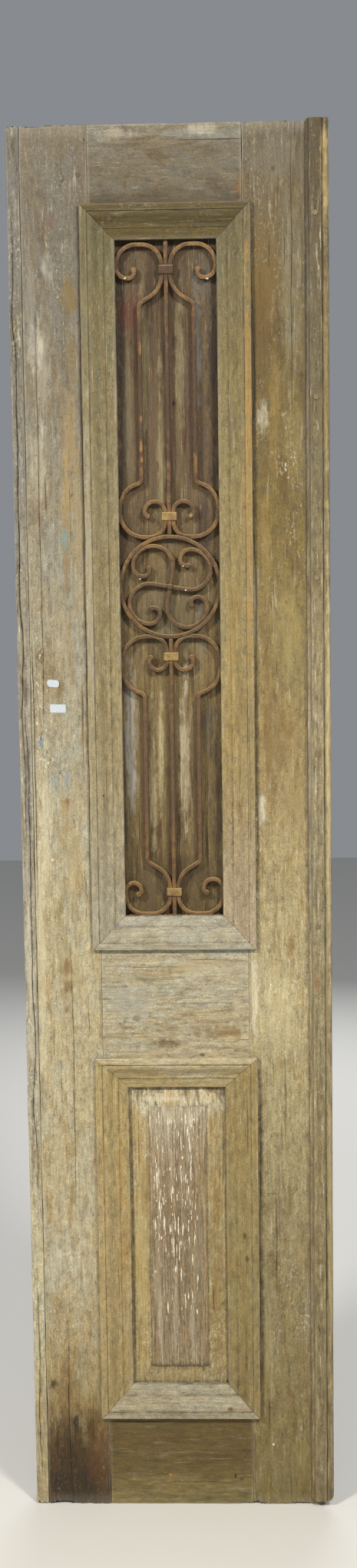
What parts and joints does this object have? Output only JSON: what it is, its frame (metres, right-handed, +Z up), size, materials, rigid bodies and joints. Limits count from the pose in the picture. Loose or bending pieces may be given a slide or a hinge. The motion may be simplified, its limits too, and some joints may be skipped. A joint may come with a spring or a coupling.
{
  "type": "french door leaf",
  "caption": "Tall stripped wooden leaf of a French door pair: raised lower panel, mitred mouldings, forged scroll grille with a boarded shutter behind, cover strip, bolts and hinges.",
  "frame": {"origin": "on the leaf's bottom face, midway between the stiles and midway through the leaf's thickness", "axes": "+X to the right seen from outside, +Y into the house, +Z up; the outside face looks along -Y"},
  "size_m": [0.5226, 0.095, 2.352],
  "materials": {
    "weathered_stile_wood": "stripped, weathered, matt",
    "weathered_rail_wood": "stripped, weathered, matt",
    "weathered_strip_wood": "stripped, weathered, matt",
    "golden_moulding_wood": "worn, matt",
    "panel_wood": "worn, traces of paint",
    "stained_shutter_wood": "rain and rust stained",
    "button_wood": "worn, matt",
    "rusty_forged_iron": "rusted, pitted",
    "aged_iron_hardware": "dark, lightly rusted",
    "iron_fasteners": "dark, rusted"
  },
  "bodies": {
    "leaf": {"bottom_bolt_guides": "aged_iron_hardware", "bottom_rail": "weathered_rail_wood", "centre_bar_lower": "rusty_forged_iron", "centre_bar_upper": "rusty_forged_iron", "collar_above_ring": "rusty_forged_iron", "collar_below_ring": "rusty_forged_iron", "collar_bottom": "rusty_forged_iron", "collar_top": "rusty_forged_iron", "cover_strip": "weathered_strip_wood", "cover_strip_nails": "iron_fasteners", "crossing_rivet": "rusty_forged_iron", "door_hinge_bottom": "aged_iron_hardware", "door_hinge_middle": "aged_iron_hardware", "door_hinge_top": "aged_iron_hardware", "edge_lipping": "weathered_strip_wood", "fielded_panel": "panel_wood", "grille_lugs": "rusty_forged_iron", "grille_mould_bottom": "golden_moulding_wood", "grille_mould_left": "golden_moulding_wood", "grille_mould_right": "golden_moulding_wood", "grille_mould_top": "golden_moulding_wood", "grille_ring": "rusty_forged_iron", "hardware_screws": "iron_fasteners", "hinge_stile": "weathered_stile_wood", "lipping_nails": "iron_fasteners", "lug_screws": "iron_fasteners", "meeting_stile": "weathered_stile_wood", "middle_rail": "weathered_rail_wood", "moulding_pins": "iron_fasteners", "panel_mould_bottom": "golden_moulding_wood", "panel_mould_left": "golden_moulding_wood", "panel_mould_right": "golden_moulding_wood", "panel_mould_top": "golden_moulding_wood", "s_scroll_level": "rusty_forged_iron", "s_scroll_upright": "rusty_forged_iron", "scroll_bar_lower_left": "rusty_forged_iron", "scroll_bar_lower_right": "rusty_forged_iron", "scroll_bar_upper_left": "rusty_forged_iron", "scroll_bar_upper_right": "rusty_forged_iron", "shutter_hinge_fixed_lower": "aged_iron_hardware", "shutter_hinge_fixed_upper": "aged_iron_hardware", "shutter_hinge_pins": "aged_iron_hardware", "tenon_wedges": "weathered_rail_wood", "top_bolt_guides": "aged_iron_hardware", "top_joint_pegs": "weathered_rail_wood", "top_rail": "weathered_rail_wood", "turn_button_pivots": "iron_fasteners"},
    "shutter": {"shutter_board_left": "stained_shutter_wood", "shutter_board_right": "stained_shutter_wood", "shutter_hinge_moving_lower": "aged_iron_hardware", "shutter_hinge_moving_upper": "aged_iron_hardware", "shutter_hinge_screws": "iron_fasteners", "shutter_ledge_bottom": "stained_shutter_wood", "shutter_ledge_middle": "stained_shutter_wood", "shutter_ledge_top": "stained_shutter_wood", "shutter_nails": "iron_fasteners"},
    "top_bolt": {"top_bolt_rod": "aged_iron_hardware"},
    "bottom_bolt": {"bottom_bolt_rod": "aged_iron_hardware"},
    "lower_button": {"turn_button_lower": "button_wood"},
    "upper_button": {"turn_button_upper": "button_wood"}
  },
  "joints": [
    {"name": "shutter_hinge", "type": "hinge", "parent": "leaf", "child": "shutter", "pos_m": [-0.124, 0.0268, 1.6095], "axis": [0, 0, 1], "range_deg": [0, 160]},
    {"name": "top_bolt_slide", "type": "slide", "parent": "leaf", "child": "top_bolt", "axis": [0, 0, 1], "range_m": [0, 0.025]},
    {"name": "bottom_bolt_slide", "type": "slide", "parent": "leaf", "child": "bottom_bolt", "axis": [0, 0, -1], "range_m": [0, 0.025]},
    {"name": "lower_button_turn", "type": "hinge", "parent": "leaf", "child": "lower_button", "pos_m": [0.143, 0.029, 1.34], "axis": [0, -1, 0], "range_deg": [0, 90]},
    {"name": "upper_button_turn", "type": "hinge", "parent": "leaf", "child": "upper_button", "pos_m": [0.143, 0.029, 1.879], "axis": [0, -1, 0], "range_deg": [0, 90]}
  ]
}
